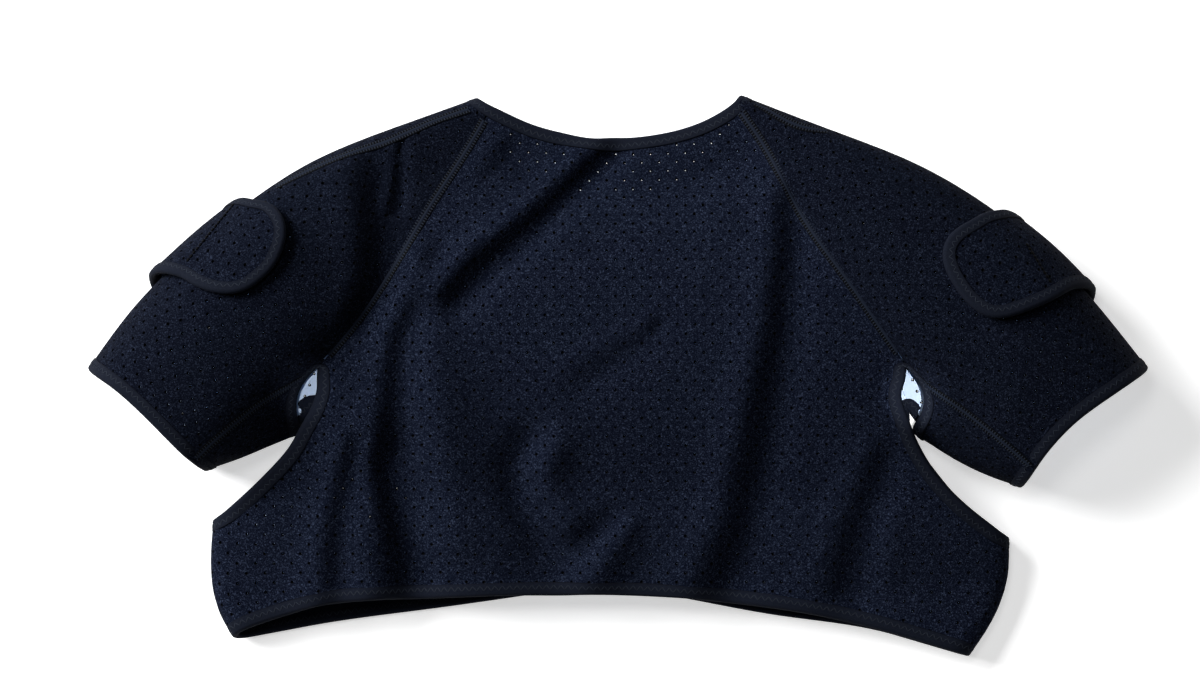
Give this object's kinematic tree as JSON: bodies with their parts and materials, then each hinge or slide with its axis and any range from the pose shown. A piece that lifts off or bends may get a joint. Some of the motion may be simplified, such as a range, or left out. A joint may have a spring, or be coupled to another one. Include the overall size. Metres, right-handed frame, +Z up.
{
  "type": "shoulder warmer",
  "caption": "Shoulder warmer for both shoulders: perforated neoprene bolero with short raglan sleeves, taped neck, hem, cuffs and open underarms, and a fold-over strap on each arm.",
  "frame": {"origin": "middle of the outline on the surface that it lies on", "axes": "+X across the back to the right, +Y from the hem to the neck, +Z up out of the back"},
  "size_m": [0.634, 0.338, 0.0754],
  "materials": {
    "neoprene": "matte brushed knit, near black navy, with a pale laminated lining inside",
    "binding": "matte ribbed tape"
  },
  "bodies": {
    "root": {"back_panel": "neoprene", "front_panel": "neoprene", "sleeve_left": "neoprene", "sleeve_right": "neoprene", "arm_strap_left": "neoprene", "arm_strap_right": "neoprene", "neck_binding": "binding", "hem_binding": "binding", "cuff_binding_left": "binding", "cuff_binding_right": "binding", "underarm_binding_left": "binding", "underarm_binding_right": "binding", "strap_binding_left": "binding", "strap_binding_right": "binding"}
  },
  "joints": []
}
